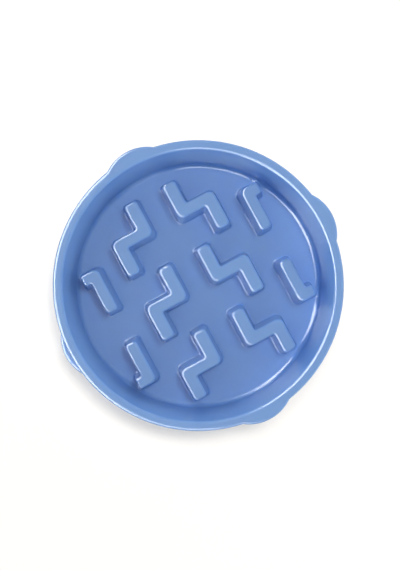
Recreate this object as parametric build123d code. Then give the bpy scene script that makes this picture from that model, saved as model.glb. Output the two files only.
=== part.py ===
from build123d import *
import os
from math import hypot, radians, tan

# Slow feeder bowl: one moulding with a maze of hollow ridges, standing on four push-in rubber feet.
# Millimetres, +Z up. The origin lies on the plane that the feet stand on, under the middle of the bowl.
# +X runs through the middle of one lobe, and the halves of the maze mirror each other about X = 0.

# Bowl
rim_top = 46.0             # top of the rim above the table
rim_band = 6.9             # top of the rim, from its outer edge to its inner edge
wall = 2.4                 # thickness of the moulding
floor_top = 7.0            # upper side of the floor above the table
inner_draft = 8.0          # lean of the inner wall, degrees
skirt_draft = 1.0          # lean of the outer skirt, degrees
skirt_lift = 2.0           # gap left between the skirt and the table
rim_inner_round = 2.2
rim_outer_round = 2.4
floor_round = 4.0
edge_break = 0.8           # along the lower edge of the skirt

# Lobes on the outside of the skirt
lobe_count = 4
lobe_reach = 4.3           # beyond the skirt
lobe_radius = 32.0         # of each lobe in plan, at its lower edge
lobe_drop = 6.0            # top of the left lobe below the rim; the tops of the others are flush with it
lobe_round = 2.0           # upper edge of a lobe

# Maze ridges, sizes in plan at their tops
ridge_rise = 24.0          # top of a ridge above the floor
ridge_draft = 5.0          # lean of the ridge walls, degrees
ridge_top_round = 1.9
ridge_foot_round = 1.2
end_round = 3.1
elbow_round = 5.2
nook_round = 1.5
leg_width = 9.75           # zigzag ridges: two legs joined by a cross piece
cross_width = 8.9
leg_step = 21.15           # between the middles of the two legs
leg_reach = 23.7           # from the middle of the cross piece to the end of a leg
front_trim = 3.0           # outer legs of the row nearest to the front are this much shorter
bar_width = 8.9            # hooked ridges: a bar with a stub at its outer end
bar_length = 33.3
stub_reach = 4.9           # stub beyond the bar
stub_width = 8.4
stub_round = 2.4

# Lanes of the maze
centre_lane = 21.5         # between the two columns of zigzags
row_gap = 24.45            # from the end of a leg to the cross piece of the next zigzag
side_lane = 17.25          # from a zigzag to a hooked ridge
bar_gap = 26.2             # between the two hooked ridges on a side
wall_lane = 4.3            # from the outermost corner of the maze to the wall, at the floor

# Feet
pad_radius = 6.8
pad_height = 4.5
pad_round = 0.8
pad_clearance = 1.6        # between a pad and the inside of its lobe
stem_radius = 2.6
stem_length = 9.0
stem_lead = 0.8            # chamfer at the tip of the stem
stem_clearance = 0.05      # between a stem and its socket, all round
tip_clearance = 1.0        # between the tip of a stem and the end of its socket
boss_wall = 2.4
web_width = 2.2

# Places in the maze
near_leg = (centre_lane + leg_width) / 2
far_leg = near_leg + leg_step
row_pitch = leg_reach + row_gap + cross_width / 2
bar_near = far_leg + leg_width / 2 + side_lane
bar_far = bar_near + bar_width
bar_start = bar_gap / 2
bar_end = bar_start + bar_length
ridge_top = floor_top + ridge_rise
flare = tan(radians(ridge_draft))


def zigzag(trim):
    """Outline of a zigzag ridge right of the middle of the bowl, about the middle of its cross piece."""
    half, across, reach = leg_width / 2, cross_width / 2, leg_reach - trim
    return [
        (near_leg - half, leg_reach, end_round), (near_leg - half, -across, elbow_round),
        (far_leg - half, -across, nook_round), (far_leg - half, -reach, end_round),
        (far_leg + half, -reach, end_round), (far_leg + half, across, elbow_round),
        (near_leg + half, across, nook_round), (near_leg + half, leg_reach, end_round),
    ]


def hooked_bar():
    """Outline of the hooked ridge right of the middle and behind it."""
    return [
        (bar_near, bar_start, end_round), (bar_far, bar_start, end_round),
        (bar_far, bar_end - stub_width, nook_round), (bar_far + stub_reach, bar_end - stub_width, stub_round),
        (bar_far + stub_reach, bar_end, stub_round), (bar_near, bar_end, elbow_round),
    ]


# Sizes of the bowl, which fits round its maze
corners_out = [(x, y) for x, y, _ in hooked_bar()]
corners_out += [(x, y + row_pitch) for x, y, _ in zigzag(0)]
corners_out += [(x, y - row_pitch) for x, y, _ in zigzag(front_trim)]
floor_radius = max(hypot(x, y) for x, y in corners_out) + wall_lane
lean = tan(radians(skirt_draft))
slope = tan(radians(inner_draft))
rim_inner = floor_radius + (rim_top - floor_top) * slope
rim_radius = rim_inner + rim_band
floor_bottom = floor_top - wall
lobe_edge = rim_radius + (rim_top - skirt_lift) * lean + lobe_reach
foot_circle = lobe_edge - wall - pad_clearance - pad_radius
socket_radius = stem_radius + stem_clearance
boss_radius = socket_radius + boss_wall
socket_top = pad_height + stem_length + tip_clearance
boss_top = socket_top + boss_wall
ON_FOOT = (Align.CENTER, Align.CENTER, Align.MIN)


def skirt_at(z):
    """Radius of the skirt's outside at a height."""
    return rim_radius + (rim_top - z) * lean


def inside_at(z):
    """Radius of the inner wall's upper side at a height."""
    return rim_inner - (rim_top - z) * slope


def rounded_face(corners):
    """Face through (x, y, radius) corners, each corner rounded by its own radius."""
    face = make_face(Polyline(*[(x, y) for x, y, _ in corners], close=True))
    for x, y, radius in corners:
        if radius > 0:
            face = fillet(face.vertices().sort_by_distance((x, y, 0))[0], radius)
    return face


def turned(corners):
    """Solid turned about Z from (radius, height, rounding) corners."""
    return revolve(Plane.XZ * rounded_face(corners), Axis.Z)


def grown(outline, amount):
    """Square-cornered outline, counter-clockwise, with every side moved outwards."""
    moved = []
    for i, (x, y, radius) in enumerate(outline):
        x0, y0, _ = outline[i - 1]
        x1, y1, _ = outline[(i + 1) % len(outline)]
        before, after = abs(x - x0) + abs(y - y0), abs(x1 - x) + abs(y1 - y)
        across = (y - y0) / before + (y1 - y) / after
        along = (x0 - x) / before + (x - x1) / after
        moved.append((x + amount * across, y + amount * along, radius))
    return moved


def leaning_prism(outline, inset, bottom, top):
    """Prism whose walls lean as the ridge walls do, lying inside the ridge's outline by the inset."""
    ends = []
    for z in (bottom, top):
        corners = [(x, y, z) for x, y, _ in grown(outline, (ridge_top - z) * flare - inset)]
        ends.append(make_face(Polyline(*corners, close=True)))
    return loft(ends, ruled=True)


def corner_edges(solid, outline, radius):
    """Upright edges of a prism at the corners that have this radius."""
    upright = solid.edges().filter_by(lambda edge: abs(edge.tangent_at(0.5).Z) > 0.5)
    middle = solid.center(CenterOf.BOUNDING_BOX).Z
    return [upright.sort_by_distance((x, y, middle))[0] for x, y, r in outline if r == radius]


def ridge(outline):
    """Solid ridge with rounded corners and a rounded top, reaching down into the floor."""
    solid = leaning_prism(outline, 0, floor_top - wall / 2, ridge_top)
    for radius in sorted({r for _, _, r in outline}):
        solid = fillet(corner_edges(solid, outline, radius), radius)
    return fillet(solid.faces().sort_by(Axis.Z)[-1].edges(), ridge_top_round)


def hollow(outline):
    """Space inside a ridge, open below the floor."""
    return leaning_prism(outline, wall, floor_bottom - wall, ridge_top - wall)


def maze(shape):
    """Every ridge, or the hollow of every ridge, in its place."""
    full, short, bar = shape(zigzag(0)), shape(zigzag(front_trim)), shape(hooked_bar())
    column = [Pos(0, row_pitch, 0) * full, full, Pos(0, -row_pitch, 0) * short]
    bars = [bar, mirror(bar, Plane.XZ), mirror(bar, Plane.YZ), Rot(0, 0, 180) * bar]
    return column + [mirror(each, Plane.YZ) for each in column] + bars


def round_the_bowl(shape, left=None):
    """One copy of a shape for each lobe, or another shape for the left one."""
    copies = [shape] * lobe_count
    if left:
        copies[lobe_count // 2] = left
    return [Rot(0, 0, i * 360 / lobe_count) * each for i, each in enumerate(copies)]


def standing(solid, x, z):
    """Solid that stands on a height, at a place on +X."""
    return Pos(x, 0, z) * solid


def lobe_cone(inset, bottom, top):
    """Leaning round column in the place of the lobe on +X."""
    low, high = [lobe_radius - inset - (z - skirt_lift) * lean for z in (bottom, top)]
    return standing(Cone(low, high, top - bottom, align=ON_FOOT), lobe_edge - lobe_radius, bottom)


def lobe(top):
    """Solid lobe on +X that reaches into the skirt, and into the rim above it."""
    solid = lobe_cone(0, skirt_lift, top)
    solid = fillet(solid.edges().sort_by(Axis.Z)[-1], lobe_round)
    return fillet(solid.edges().sort_by(Axis.Z)[0], edge_break) - skirt_core


def lobe_space(top):
    """Space inside a lobe, open below and into the channel behind the skirt."""
    return lobe_cone(wall, skirt_lift - wall, top - wall) - plug


# Bowl: a turned shell, with lobes, ridges and foot bosses added to it and hollowed from below
low_top, under_rim = rim_top - lobe_drop, rim_top - wall
channel_out, channel_in = skirt_at(under_rim) - wall, inside_at(under_rim) + wall
channel_round = (channel_out - channel_in) / 3
inside = [(0, floor_top, 0), (floor_radius, floor_top, floor_round)]
underside = [(inside_at(floor_bottom) + wall, floor_bottom, floor_round + wall), (0, floor_bottom, 0)]
shell = turned(inside + [
    (rim_inner, rim_top, rim_inner_round), (rim_radius, rim_top, rim_outer_round),
    (skirt_at(skirt_lift), skirt_lift, edge_break), (skirt_at(skirt_lift) - wall, skirt_lift, edge_break),
    (channel_out, under_rim, channel_round), (channel_in, under_rim, channel_round),
] + underside)

mid_rim = rim_radius - rim_band / 2
skirt_core = turned([
    (0, 0, 0), (skirt_at(0) - wall / 2, 0, 0), (skirt_at(under_rim) - wall / 2, under_rim, 0),
    (mid_rim, under_rim, 0), (mid_rim, rim_top, 0), (0, rim_top, 0),
])
body = shell + round_the_bowl(lobe(rim_top), lobe(low_top))

ridges = maze(ridge)
plain, body = body, body + ridges
body = fillet(new_edges(plain, *ridges, combined=body), ridge_foot_round)

plug = turned([(0, rim_top, 0), (inside_at(rim_top) + wall, rim_top, 0)] + underside)
body = body - maze(hollow) - round_the_bowl(lobe_space(rim_top), lobe_space(low_top))

bowl_space = turned(inside + [(rim_inner, rim_top, 0), (0, rim_top, 0)])
web_end = lobe_edge - (boss_top - skirt_lift) * lean - wall / 2
web = Box(web_end - foot_circle, web_width, boss_top - pad_height - 2 * edge_break,
          align=(Align.MIN, Align.CENTER, Align.MIN))
boss = standing(Cylinder(boss_radius, boss_top - pad_height, align=ON_FOOT), foot_circle, pad_height)
boss += standing(web, foot_circle, pad_height + edge_break)
socket = standing(Cylinder(socket_radius, socket_top - pad_height + wall, align=ON_FOOT),
                  foot_circle, pad_height - wall)
bowl = body + round_the_bowl(boss - bowl_space) - round_the_bowl(socket)

# Feet: a round pad below the boss, and a stem in its socket
stem_tip = pad_height + stem_length
foot = Pos(foot_circle, 0, 0) * turned([
    (0, 0, 0), (pad_radius, 0, pad_round), (pad_radius, pad_height, pad_round / 2),
    (stem_radius, pad_height, 0), (stem_radius, stem_tip - stem_lead, 0),
    (stem_radius - stem_lead, stem_tip, 0), (0, stem_tip, 0),
])

os.makedirs("parts", exist_ok=True)
export_step(bowl, "parts/bowl.step")
for name, each in zip(("foot_right", "foot_back", "foot_left", "foot_front"), round_the_bowl(foot)):
    export_step(each, f"parts/{name}.step")
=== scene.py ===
from math import cos, pi, radians, sin, tan

import bmesh
import bpy
from mathutils import Matrix, Vector


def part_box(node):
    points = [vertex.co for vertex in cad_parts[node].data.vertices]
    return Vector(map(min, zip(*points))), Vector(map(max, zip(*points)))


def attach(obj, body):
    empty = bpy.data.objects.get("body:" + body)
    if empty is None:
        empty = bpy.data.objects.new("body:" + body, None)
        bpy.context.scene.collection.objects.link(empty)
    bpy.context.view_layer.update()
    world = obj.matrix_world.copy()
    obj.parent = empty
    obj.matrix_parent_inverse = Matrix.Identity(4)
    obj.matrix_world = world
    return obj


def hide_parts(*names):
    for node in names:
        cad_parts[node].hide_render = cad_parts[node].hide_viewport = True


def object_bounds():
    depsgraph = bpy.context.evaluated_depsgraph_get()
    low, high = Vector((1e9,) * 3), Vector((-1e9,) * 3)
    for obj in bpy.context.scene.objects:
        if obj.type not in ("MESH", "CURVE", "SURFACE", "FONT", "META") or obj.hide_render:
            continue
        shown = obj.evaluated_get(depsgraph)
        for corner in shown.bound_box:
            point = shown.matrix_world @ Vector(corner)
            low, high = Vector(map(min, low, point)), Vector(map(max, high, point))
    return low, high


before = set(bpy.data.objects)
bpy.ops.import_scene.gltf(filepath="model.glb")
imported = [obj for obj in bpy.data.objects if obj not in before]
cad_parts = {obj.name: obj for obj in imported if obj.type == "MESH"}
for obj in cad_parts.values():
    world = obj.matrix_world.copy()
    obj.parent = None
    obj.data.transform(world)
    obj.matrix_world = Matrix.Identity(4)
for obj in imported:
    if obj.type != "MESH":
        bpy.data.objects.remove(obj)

bl_info = {
    "name": "Slow feeder bowl",
    "version": (1, 0, 0),
    "blender": (4, 5, 0),
    "location": "3D View > Sidebar > Feeder",
    "description": "Finishes a moulded slow feeder bowl and its rubber feet, and lights them",
    "category": "Object",
}

CAD_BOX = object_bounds()
FEET = ("foot_right", "foot_back", "foot_left", "foot_front")

# Meshes: corners closer than a weld become one; a crease is the bend from which an edge counts as sharp
BOWL_WELD, BOWL_CREASE = 2e-6, radians(40)
FOOT_WELD, FOOT_CREASE = 1e-6, radians(20)
FOOT_STEPS = 96

# Node trees: how nodes are laid out, and the colour sockets of a Mix node, whose names repeat
NODES_IN_ROW, NODE_SPACING = 6, 260
MIX_BELOW, MIX_ABOVE, MIX_RESULT = 6, 7, 2

# Finishes: colours of worn places, and how far the slow drift takes the rubber
SCUFFED_PLASTIC = (0.45, 0.56, 0.74)
RUBBED_PLASTIC = (0.50, 0.62, 0.82)
RUBBED_RUBBER = (0.10, 0.10, 0.105)
RUBBER_SHADES = (0.8, 1.3)
DRIFT_SPAN = (0.2, 0.8)                 # values of the drift between which the roughness changes

# Studio: lengths in metres, and directions in the picture, anticlockwise from its right-hand side
PICTURE_HEIGHT = 570                    # pixels
SENSOR_WIDTH = 36.0                     # millimetres
FLOOR_REACH = 6.0                       # from the middle of the floor to its sides
FLOOR_TONES = ((0.55, 0.53, 0.492), (0.57, 0.55, 0.512))
GLOW_COLOUR = (1.0, 0.965, 0.935)
FADE = (0.25, 0.9)                      # distances between which the floor goes over into white
SKY_BAND = (0.2, 0.8)                   # upward parts of a direction, from the horizon's light to the zenith's
SOFTBOX_REACH = 1.7                     # from the middle of the bowl to a softbox
KEY_DIRECTION, KEY_ELEVATION = radians(45), radians(75)
KEY_SIZE = (0.36, 0.36)
GROUND_DIRECTIONS, GROUND_ELEVATION = (radians(52), radians(98)), radians(72)
GROUND_SIZE = (0.5, 0.4)
PANEL_REACH = 3.0                       # from the middle of the bowl to a panel
PANEL_SHARES = (1.0, 1.0, 1.0, 0.5)     # power of the side panels, from the upper left round to the bottom
OVERHEAD_SIZE = (2.8, 2.8)


# Settings that a user would change

class BowlFinish(bpy.types.PropertyGroup):
    """Moulded plastic of the bowl"""
    colour: bpy.props.FloatVectorProperty(
        name="Colour", description="Colour of the plastic", subtype="COLOR", size=3, min=0, max=1,
        default=(0.160, 0.309, 0.603))
    drift: bpy.props.FloatProperty(
        name="Drift", description="How far the colour drifts to darker and lighter", default=0.05,
        min=0, max=1, subtype="FACTOR")
    roughness: bpy.props.FloatProperty(
        name="Roughness", description="Satin finish of the mould", default=0.18,
        min=0, max=1, subtype="FACTOR")
    unevenness: bpy.props.FloatProperty(
        name="Unevenness", description="Roughness that comes and goes over the surface", default=0.06,
        min=0, max=1, subtype="FACTOR")
    polish: bpy.props.FloatProperty(
        name="Polish", description="Roughness taken off along the upper edges of the ridges", default=0.11,
        min=0, max=1, subtype="FACTOR")
    depth: bpy.props.FloatProperty(
        name="Depth", description="How deep light scatters into the plastic", default=0.003,
        min=0, unit="LENGTH")
    milkiness: bpy.props.FloatProperty(
        name="Milkiness", description="Share of the light that scatters inside the plastic", default=0.4,
        min=0, max=1, subtype="FACTOR")
    grain: bpy.props.FloatProperty(
        name="Grain", description="Size of the mould's fine texture", default=0.0006, min=0, unit="LENGTH")
    edge_width: bpy.props.FloatProperty(
        name="Edge width", description="Width of the wear along edges", default=0.0009, min=0, unit="LENGTH")
    rubbing: bpy.props.FloatProperty(
        name="Rubbing", description="How much wear lightens the edges", default=0.16,
        min=0, max=1, subtype="FACTOR")
    scuffs: bpy.props.FloatProperty(
        name="Scuffs", description="How much fine scuffs lighten the plastic", default=0.03,
        min=0, max=1, subtype="FACTOR")
    scuff_dulling: bpy.props.FloatProperty(
        name="Scuff dulling", description="Roughness that fine scuffs add", default=0.02,
        min=0, max=1, subtype="FACTOR")


class FootFinish(bpy.types.PropertyGroup):
    """Rubber of the feet"""
    colour: bpy.props.FloatVectorProperty(
        name="Colour", description="Colour of the rubber", subtype="COLOR", size=3, min=0, max=1,
        default=(0.028, 0.030, 0.034))
    roughness: bpy.props.FloatProperty(
        name="Roughness", description="Matt finish of the rubber", default=0.72,
        min=0, max=1, subtype="FACTOR")
    unevenness: bpy.props.FloatProperty(
        name="Unevenness", description="Roughness more or less over the surface", default=0.08,
        min=0, max=1, subtype="FACTOR")
    grain: bpy.props.FloatProperty(
        name="Grain", description="Size of the rubber's texture", default=0.0004, min=0, unit="LENGTH")
    edge_width: bpy.props.FloatProperty(
        name="Edge width", description="Width of the wear along edges", default=0.0006, min=0, unit="LENGTH")
    rubbing: bpy.props.FloatProperty(
        name="Rubbing", description="How much wear lightens the edges", default=0.35,
        min=0, max=1, subtype="FACTOR")
    pad_height: bpy.props.FloatProperty(
        name="Pad height", description="Height of a pad below its boss", default=0.0045,
        min=0, unit="LENGTH")
    stem_radius: bpy.props.FloatProperty(
        name="Stem radius", description="Radius of the stem in its socket", default=0.0026,
        min=0, unit="LENGTH")
    grooves: bpy.props.IntProperty(
        name="Grooves", description="Grooves round the underside of a pad", default=2, min=1, max=4)
    groove_depth: bpy.props.FloatProperty(
        name="Groove depth", description="Depth of a groove", default=0.0006, min=0, unit="LENGTH")
    softened: bpy.props.FloatProperty(
        name="Softened", description="Width of the softened edges", default=0.00018, min=0, unit="LENGTH")


class StudioSettings(bpy.types.PropertyGroup):
    """Camera and light"""
    camera_height: bpy.props.FloatProperty(
        name="Camera height", description="Camera above the table", default=0.651, min=0, unit="LENGTH")
    rim_scale: bpy.props.FloatProperty(
        name="Scale at the rim", description="Pixels to a metre at the height of the rim", default=1419.4,
        min=1)
    turn: bpy.props.FloatProperty(
        name="Turn", description="How far the bowl is turned in the picture", default=radians(28.3),
        subtype="ANGLE")
    aside: bpy.props.FloatProperty(
        name="Aside", description="Camera to the right of the middle of the bowl", default=0.0012,
        unit="LENGTH")
    behind: bpy.props.FloatProperty(
        name="Behind", description="Camera above the middle of the bowl in the picture", default=0.0004,
        unit="LENGTH")
    key: bpy.props.FloatProperty(
        name="Key light", description="Power of the softbox at the upper right", default=11.2,
        min=0, unit="POWER")
    ground_key: bpy.props.FloatProperty(
        name="Ground light", description="Power of each softbox that lights the ground alone", default=8.5,
        min=0, unit="POWER")
    edge: bpy.props.FloatProperty(
        name="Edge light", description="Power of a side panel that draws the edges", default=730.0,
        min=0, unit="POWER")
    edge_from: bpy.props.FloatProperty(
        name="Panels from", description="Direction in the picture in which the side panels begin",
        default=radians(119), subtype="ANGLE")
    edge_to: bpy.props.FloatProperty(
        name="Panels to", description="Direction in the picture in which the side panels end",
        default=radians(280), subtype="ANGLE")
    edge_low: bpy.props.FloatProperty(
        name="Panels' foot", description="Elevation of the lower end of the side panels",
        default=radians(12), subtype="ANGLE")
    edge_high: bpy.props.FloatProperty(
        name="Panels' head", description="Elevation of the upper end of the side panels",
        default=radians(67), subtype="ANGLE")
    overhead: bpy.props.FloatProperty(
        name="Overhead light", description="Power of the panel overhead that level faces mirror", default=8.0,
        min=0, unit="POWER")
    zenith: bpy.props.FloatProperty(
        name="Zenith", description="Strength of the white surroundings overhead", default=0.21, min=0)
    horizon: bpy.props.FloatProperty(
        name="Horizon", description="Strength of the white surroundings low down", default=1.73, min=0)
    ground_lift: bpy.props.FloatProperty(
        name="Ground lift", description="Glow that takes the open ground to white", default=0.295, min=0)


# Node helpers

def feed(tree, socket, value):
    """Links a (node, output) pair to a socket, or sets the value that the socket holds."""
    if isinstance(value, tuple) and isinstance(value[0], bpy.types.Node):
        node, output = value
        tree.links.new(node.outputs[output], socket)
    else:
        socket.default_value = value


def feed_named(tree, node, **values):
    """Feeds inputs of a node by their names, with underscores for spaces."""
    for name, value in values.items():
        feed(tree, node.inputs[name.replace("_", " ")], value)


def put(tree, kind, *terms, **values):
    """Adds a node: terms feed its inputs in order, names with capitals feed inputs, others set the node."""
    row, column = divmod(len(tree.nodes), NODES_IN_ROW)
    node = tree.nodes.new(kind)
    node.location = (NODE_SPACING * column, -NODE_SPACING * row)
    settings = [name for name in values if name.islower()]
    for name in settings:
        setattr(node, name, values.pop(name))
    for socket, term in zip(node.inputs, terms):
        feed(tree, socket, term)
    feed_named(tree, node, **values)
    return node


def worked(tree, operation, *terms):
    """Socket with the result of an operation on numbers and sockets."""
    return put(tree, "ShaderNodeMath", *terms, operation=operation), "Value"


def ranged(tree, value, source, target=(0.0, 1.0), interpolation="LINEAR"):
    """Value taken from one range to another, and held inside it."""
    node = put(tree, "ShaderNodeMapRange", value, *source, *target, interpolation_type=interpolation)
    return node, "Result"


def noise(tree, place, **values):
    """Socket with noise at a place."""
    return put(tree, "ShaderNodeTexNoise", Vector=place, **values), "Fac"


def blended(tree, mask, amount, below, above):
    """Colour that goes from one to another by a mask times an amount."""
    mix = put(tree, "ShaderNodeMix", worked(tree, "MULTIPLY", mask, amount), data_type="RGBA")
    feed(tree, mix.inputs[MIX_BELOW], below)
    feed(tree, mix.inputs[MIX_ABOVE], above)
    return mix, MIX_RESULT


def tinted(colour, factor=1.0):
    """Opaque colour, lighter or darker than the one given."""
    return (*(min(1.0, part * factor) for part in colour), 1.0)


# Effects, as node groups

def new_group(name, inputs, outputs):
    """Shader node group with its named sockets, and its input and output nodes."""
    tree = bpy.data.node_groups.new(name, "ShaderNodeTree")
    for label, default in inputs.items():
        socket = tree.interface.new_socket(label, in_out="INPUT", socket_type="NodeSocketFloat")
        socket.default_value = default
    for label in outputs:
        tree.interface.new_socket(label, in_out="OUTPUT", socket_type="NodeSocketFloat")
    return tree, put(tree, "NodeGroupInput"), put(tree, "NodeGroupOutput")


def shared(maker):
    """Node group by its maker's name, made once."""
    return bpy.data.node_groups.get(maker.__name__) or maker()


def moulded_grain():
    """Fine texture that a mould leaves: a height for bump, and a slow drift over the surface."""
    peel_share = 0.8
    tree, given, result = new_group("moulded_grain", {"Size": 0.0006}, ["Height", "Drift"])
    place = put(tree, "ShaderNodeTexCoord"), "Object"
    scale = worked(tree, "DIVIDE", 1.0, (given, "Size"))
    fine = noise(tree, place, Scale=scale, Detail=2.0, Roughness=0.55)
    peel = noise(tree, place, Scale=260.0, Detail=1.0)
    slow = noise(tree, place, Scale=22.0, Detail=3.0, Roughness=0.6)
    feed_named(tree, result, Height=worked(tree, "MULTIPLY_ADD", peel, peel_share, fine), Drift=slow)
    return tree


def handling_wear():
    """Marks of use: a mask along edges that stand out, and a mask of fine scuffs."""
    plain, bent = 0.995, 0.90           # agreement of a softened normal with its face, flat and at an edge
    little, full = 0.35, 0.75           # noise between which the wear of an edge grows
    least_wear = 0.25
    faint, clear = 0.70, 0.80           # noise between which a scuff comes out
    scuff_angles, scuff_tilt, scuff_stretch = (17, 71, 128), (0.2, 0.1), (26.0, 1500.0, 300.0)
    tree, given, result = new_group("handling_wear", {"Width": 0.001}, ["Edge", "Scuff"])
    place = put(tree, "ShaderNodeTexCoord"), "Object"
    soft = put(tree, "ShaderNodeBevel", Radius=(given, "Width"), samples=4)
    face = put(tree, "ShaderNodeNewGeometry"), "True Normal"
    agree = put(tree, "ShaderNodeVectorMath", (soft, "Normal"), face, operation="DOT_PRODUCT")
    edge = ranged(tree, (agree, "Value"), (plain, bent))
    patches = noise(tree, place, Scale=70.0, Detail=4.0)
    worn = worked(tree, "MULTIPLY", edge, ranged(tree, patches, (little, full), (least_wear, 1.0)))
    scuff = 0.0
    for angle in scuff_angles:
        turned = put(tree, "ShaderNodeMapping", Vector=place, Rotation=(*scuff_tilt, radians(angle)),
                     Scale=scuff_stretch)
        line = noise(tree, (turned, "Vector"), Scale=1.0, Detail=1.0)
        scuff = worked(tree, "MAXIMUM", scuff, ranged(tree, line, (faint, clear)))
    feed_named(tree, result, Edge=worn, Scuff=scuff)
    return tree


def upper_edges():
    """Mask of slanted upper edges: 1 on the ridges, which are polished, and below 0 on the duller rim."""
    upright, slanted = 0.15, 0.45       # upward part of a normal, on a wall and on a slanted edge
    level, leaning = 0.999, 0.97        # the same on a level face, and where it begins to lean
    rim_share = -0.2
    limits = {"Low": 0.012, "High": 0.028, "Within": 0.090, "Beyond": 0.0945}
    tree, given, result = new_group("upper_edges", limits, ["Edge"])
    place = put(tree, "ShaderNodeTexCoord")
    point = put(tree, "ShaderNodeSeparateXYZ", (place, "Object"))
    facing = put(tree, "ShaderNodeSeparateXYZ", (place, "Normal"))
    rise = ranged(tree, (point, "Z"), ((given, "Low"), (given, "High")), interpolation="SMOOTHSTEP")
    slant = worked(tree, "MULTIPLY", ranged(tree, (facing, "Z"), (upright, slanted)),
                   ranged(tree, (facing, "Z"), (level, leaning)))
    outward = put(tree, "ShaderNodeVectorMath", (place, "Object"), (1, 1, 0), operation="MULTIPLY")
    radius = put(tree, "ShaderNodeVectorMath", (outward, "Vector"), operation="LENGTH")
    inner = ranged(tree, (radius, "Value"), ((given, "Within"), (given, "Beyond")), (1.0, rim_share))
    feed_named(tree, result, Edge=worked(tree, "MULTIPLY", worked(tree, "MULTIPLY", slant, rise), inner))
    return tree


# Materials

def new_material(name, finish):
    """Material with a Principled shader, its tree, and the grain and the wear of a finish."""
    material = bpy.data.materials.new(name)
    material.use_nodes = True
    tree = material.node_tree
    grain = put(tree, "ShaderNodeGroup", node_tree=shared(moulded_grain), Size=finish.grain)
    wear = put(tree, "ShaderNodeGroup", node_tree=shared(handling_wear), Width=finish.edge_width)
    return material, tree, grain, wear


def bowl_plastic(finish):
    """Satin polypropylene: fine mould grain, slow drift in colour, polished edges and faint scuffs."""
    material, tree, grain, wear = new_material("bowl_plastic", finish)
    darker, lighter = tinted(finish.colour, 1 - finish.drift), tinted(finish.colour, 1 + finish.drift)
    base = blended(tree, (grain, "Drift"), 1.0, darker, lighter)
    base = blended(tree, (wear, "Scuff"), finish.scuffs, base, tinted(SCUFFED_PLASTIC))
    base = blended(tree, (wear, "Edge"), finish.rubbing, base, tinted(RUBBED_PLASTIC))
    upper = put(tree, "ShaderNodeGroup", node_tree=shared(upper_edges))
    gloss = worked(tree, "MULTIPLY_ADD", (upper, "Edge"), -finish.polish, finish.roughness)
    gloss = worked(tree, "MULTIPLY_ADD", (grain, "Drift"), finish.unevenness, gloss)
    gloss = worked(tree, "MULTIPLY_ADD", (wear, "Scuff"), finish.scuff_dulling, gloss)
    bump = put(tree, "ShaderNodeBump", Strength=0.35, Distance=0.00003, Height=(grain, "Height"))
    feed_named(tree, tree.nodes["Principled BSDF"], Base_Color=base, Roughness=gloss, Normal=(bump, "Normal"),
               IOR=1.49, Subsurface_Weight=finish.milkiness, Subsurface_Radius=(0.6, 0.8, 1.0),
               Subsurface_Scale=finish.depth)
    return material


def foot_rubber(finish):
    """Matt black rubber: fine grain, and paler scuffed edges."""
    material, tree, grain, wear = new_material("foot_rubber", finish)
    darker, lighter = (tinted(finish.colour, shade) for shade in RUBBER_SHADES)
    base = blended(tree, (grain, "Drift"), 1.0, darker, lighter)
    base = blended(tree, (wear, "Edge"), finish.rubbing, base, tinted(RUBBED_RUBBER))
    smoothest, roughest = finish.roughness - finish.unevenness, finish.roughness + finish.unevenness
    gloss = ranged(tree, (grain, "Drift"), DRIFT_SPAN, (smoothest, roughest))
    bump = put(tree, "ShaderNodeBump", Strength=0.6, Distance=0.00005, Height=(grain, "Height"))
    feed_named(tree, tree.nodes["Principled BSDF"], Base_Color=base, Roughness=gloss, Normal=(bump, "Normal"),
               IOR=1.52)
    return material


# Pieces

def new_piece(name, bm, material):
    """Object at the origin from a bmesh."""
    mesh = bpy.data.meshes.new(name)
    bm.to_mesh(mesh)
    bm.free()
    mesh.materials.append(material)
    piece = bpy.data.objects.new(name, mesh)
    bpy.context.scene.collection.objects.link(piece)
    return piece


class FEEDER_OT_bowl(bpy.types.Operator):
    """Gives the moulded bowl its smooth surface and its plastic"""
    bl_idname = "feeder.bowl"
    bl_label = "Finish bowl"

    def execute(self, context):
        bm = bmesh.new()
        bm.from_mesh(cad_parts["bowl"].data)
        bmesh.ops.remove_doubles(bm, verts=bm.verts, dist=BOWL_WELD)
        for face in bm.faces:
            face.smooth = True
        for edge in bm.edges:
            edge.smooth = edge.calc_face_angle(0.0) < BOWL_CREASE
        piece = new_piece("bowl_moulding", bm, bowl_plastic(context.scene.feeder_bowl))
        even = piece.modifiers.new("even_normals", "WEIGHTED_NORMAL")
        even.keep_sharp = True
        even.mode = "FACE_AREA_WITH_ANGLE"
        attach(piece, "root")
        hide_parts("bowl")
        return {"FINISHED"}


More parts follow.
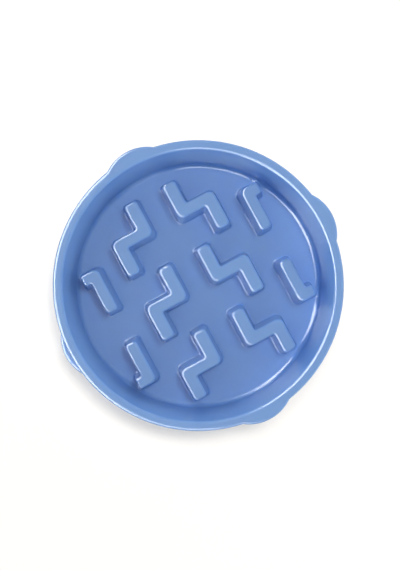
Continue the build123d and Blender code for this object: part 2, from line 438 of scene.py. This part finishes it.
class FEEDER_OT_feet(bpy.types.Operator):
    """Makes the push-in rubber feet, with grooves round the underside of their pads"""
    bl_idname = "feeder.feet"
    bl_label = "Make feet"

    def execute(self, context):
        finish = context.scene.feeder_feet
        rubber = foot_rubber(finish)
        for name in FEET:
            low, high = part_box(name)
            piece = new_piece(name + "_rubber", self.foot(finish, low, high), rubber)
            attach(piece, "root")
            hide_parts(name)
        return {"FINISHED"}

    def foot(self, finish, low, high):
        """Foot turned about its own upright axis."""
        pad, stem, top = (high.x - low.x) / 2, finish.stem_radius, high.z - low.z
        pitch = pad / (finish.grooves + 1)
        bed, depth = pitch / 6, finish.groove_depth     # half width of a groove's bed, and its depth
        mouth = 1.5 * bed
        rounding, lead = pad / 8, stem / 3
        profile = [(0, 0)]
        for i in range(finish.grooves):
            middle = pitch * (i + 1)
            profile += [(middle - mouth, 0), (middle - bed, depth)]
            profile += [(middle + bed, depth), (middle + mouth, 0)]
        profile += [(pad - rounding, 0), (pad, rounding), (pad, finish.pad_height), (stem, finish.pad_height),
                    (stem, top - lead), (stem - lead, top), (0, top)]
        bm = bmesh.new()
        line = [bm.verts.new((radius, 0, z)) for radius, z in profile]
        edges = [bm.edges.new(pair) for pair in zip(line, line[1:])]
        bmesh.ops.spin(bm, geom=line + edges, cent=(0, 0, 0), axis=(0, 0, 1), angle=2 * pi, steps=FOOT_STEPS,
                       use_merge=True)
        bmesh.ops.remove_doubles(bm, verts=bm.verts, dist=FOOT_WELD)
        bmesh.ops.recalc_face_normals(bm, faces=bm.faces)
        sharp = [edge for edge in bm.edges if edge.calc_face_angle(0.0) > FOOT_CREASE]
        bmesh.ops.bevel(bm, geom=sharp, offset=finish.softened, affect="EDGES", segments=2, profile=0.5,
                        material=-1)
        for face in bm.faces:
            face.smooth = True
        centre = (low + high) / 2
        bmesh.ops.translate(bm, verts=bm.verts, vec=(centre.x, centre.y, low.z))
        return bm


class FEEDER_OT_studio(bpy.types.Operator):
    """Sets up the floor, the light and the camera straight above the bowl"""
    bl_idname = "feeder.studio"
    bl_label = "Set up studio"

    def execute(self, context):
        studio = context.scene.feeder_studio
        ground = self.floor(studio)
        self.surroundings(context.scene, studio)
        self.lamps(studio, ground)
        self.camera(context.scene, studio)
        context.scene.view_settings.view_transform = "Standard"
        return {"FINISHED"}

    def floor(self, studio):
        """Matt floor, lifted by a glow where it is seen, that goes over into white further out."""
        material = bpy.data.materials.new("studio_floor")
        material.use_nodes = True
        tree = material.node_tree
        tree.nodes.clear()
        seen = self.seen(tree)
        speck = put(tree, "ShaderNodeTexNoise", Scale=40.0, Detail=3.0)
        tone = blended(tree, (speck, "Fac"), 1.0, *(tinted(each) for each in FLOOR_TONES))
        matt = put(tree, "ShaderNodeBsdfDiffuse", tone)
        glow = put(tree, "ShaderNodeEmission", tinted(GLOW_COLOUR),
                   worked(tree, "MULTIPLY", seen, studio.ground_lift))
        near = put(tree, "ShaderNodeAddShader", (glow, "Emission"), (matt, "BSDF"))
        place = put(tree, "ShaderNodeTexCoord"), "Object"
        distance = put(tree, "ShaderNodeVectorMath", place, operation="LENGTH")
        fade = ranged(tree, (distance, "Value"), FADE, interpolation="SMOOTHSTEP")
        white = put(tree, "ShaderNodeEmission")
        surface = put(tree, "ShaderNodeMixShader", worked(tree, "MULTIPLY", fade, seen), (near, "Shader"),
                      (white, "Emission"))
        put(tree, "ShaderNodeOutputMaterial", Surface=(surface, "Shader"))
        bm = bmesh.new()
        bmesh.ops.create_grid(bm, x_segments=1, y_segments=1, size=FLOOR_REACH)
        ground = new_piece("floor", bm, material)
        return ground

    def seen(self, tree):
        """Socket that is 1 for what the camera sees, also in a reflection or through something clear."""
        path = put(tree, "ShaderNodeLightPath")
        direct = worked(tree, "MAXIMUM", (path, "Is Camera Ray"), (path, "Is Glossy Ray"))
        return worked(tree, "MAXIMUM", direct, (path, "Is Transmission Ray"))

    def surroundings(self, scene, studio):
        """White surroundings that light the bowl less from overhead, and that look even."""
        world = bpy.data.worlds.new("studio")
        scene.world = world
        world.use_nodes = True
        tree = world.node_tree
        tree.nodes.clear()
        place = put(tree, "ShaderNodeTexCoord")
        upward = put(tree, "ShaderNodeSeparateXYZ", (place, "Generated"))
        shade = ranged(tree, (upward, "Z"), SKY_BAND, (studio.horizon, studio.zenith), "SMOOTHSTEP")
        strength = ranged(tree, self.seen(tree), (0.0, 1.0), (shade, 1.0))
        back = put(tree, "ShaderNodeBackground", (1, 1, 1, 1), strength)
        put(tree, "ShaderNodeOutputWorld", Surface=(back, "Background"))

    def lamp(self, name, place, size, power, target=(0, 0, 0)):
        """Rectangular lamp that faces a target and that the camera doesn't see."""
        light = bpy.data.lights.new(name, "AREA")
        light.shape = "RECTANGLE"
        light.size, light.size_y = size
        light.energy = power
        lamp = bpy.data.objects.new(name, light)
        lamp.location = place
        lamp.rotation_euler = (Vector(target) - Vector(place)).to_track_quat("-Z", "Y").to_euler()
        lamp.visible_camera = False
        bpy.context.scene.collection.objects.link(lamp)
        return lamp

    def lamps(self, studio, ground):
        """Key light, softboxes for the ground alone, and panels that only reflections see."""
        place = self.around(studio, KEY_DIRECTION, KEY_ELEVATION, SOFTBOX_REACH)
        key = self.lamp("softbox", place, KEY_SIZE, studio.key)
        key.visible_glossy = False
        only = bpy.data.collections.new("ground_only")
        only.objects.link(ground)
        for i, direction in enumerate(GROUND_DIRECTIONS):
            place = self.around(studio, direction, GROUND_ELEVATION, SOFTBOX_REACH)
            softbox = self.lamp(f"ground_softbox_{i}", place, GROUND_SIZE, studio.ground_key)
            softbox.light_linking.receiver_collection = only
        low, high = PANEL_REACH * tan(studio.edge_low), PANEL_REACH * tan(studio.edge_high)
        middle = Vector((0, 0, (low + high) / 2))
        span = (studio.edge_to - studio.edge_from) / len(PANEL_SHARES)
        size = (2 * PANEL_REACH * tan(span / 2), high - low)
        for i, share in enumerate(PANEL_SHARES):
            side = self.around(studio, studio.edge_from + span * (i + 0.5), 0.0, PANEL_REACH)
            panel = self.lamp(f"edge_panel_{i}", side + middle, size, share * studio.edge, target=middle)
            panel.visible_diffuse = False
        above = self.lamp("overhead_panel", (0, 0, PANEL_REACH), OVERHEAD_SIZE, studio.overhead)
        above.visible_diffuse = False

    def around(self, studio, direction, elevation, distance):
        """Place seen from the middle of the bowl, in a direction in the picture."""
        azimuth, outward = direction - studio.turn, cos(elevation)
        return distance * Vector((cos(azimuth) * outward, sin(azimuth) * outward, sin(elevation)))

    def camera(self, scene, studio):
        """Camera that looks straight down and gives the rim its scale."""
        rim_top = CAD_BOX[1].z
        data = bpy.data.cameras.new("camera")
        data.sensor_width = SENSOR_WIDTH
        pixels = studio.rim_scale * (studio.camera_height - rim_top)
        data.lens = data.sensor_width * pixels / PICTURE_HEIGHT
        camera = bpy.data.objects.new("camera", data)
        place = Matrix.Rotation(-studio.turn, 3, "Z") @ Vector((studio.aside, studio.behind, 0))
        camera.location = (place.x, place.y, studio.camera_height)
        camera.rotation_euler = (0.0, 0.0, -studio.turn)
        scene.collection.objects.link(camera)
        scene.camera = camera


class FEEDER_PT_panel(bpy.types.Panel):
    """Sizes, finishes and light of the slow feeder bowl"""
    bl_idname = "FEEDER_PT_panel"
    bl_label = "Slow feeder bowl"
    bl_space_type = "VIEW_3D"
    bl_region_type = "UI"
    bl_category = "Feeder"

    def draw(self, context):
        scene = context.scene
        for settings, operator in ((scene.feeder_bowl, "feeder.bowl"), (scene.feeder_feet, "feeder.feet"),
                                   (scene.feeder_studio, "feeder.studio")):
            column = self.layout.column()
            for name in settings.__annotations__:
                column.prop(settings, name)
            column.operator(operator)


CLASSES = (BowlFinish, FootFinish, StudioSettings, FEEDER_OT_bowl, FEEDER_OT_feet, FEEDER_OT_studio,
           FEEDER_PT_panel)
SETTINGS = {"feeder_bowl": BowlFinish, "feeder_feet": FootFinish, "feeder_studio": StudioSettings}


def register():
    for each in CLASSES:
        bpy.utils.register_class(each)
    for name, settings in SETTINGS.items():
        setattr(bpy.types.Scene, name, bpy.props.PointerProperty(type=settings))


def unregister():
    for name in SETTINGS:
        delattr(bpy.types.Scene, name)
    for each in reversed(CLASSES):
        bpy.utils.unregister_class(each)


def main():
    register()
    bpy.ops.feeder.bowl()
    bpy.ops.feeder.feet()
    bpy.ops.feeder.studio()


if __name__ == "__main__":
    main()
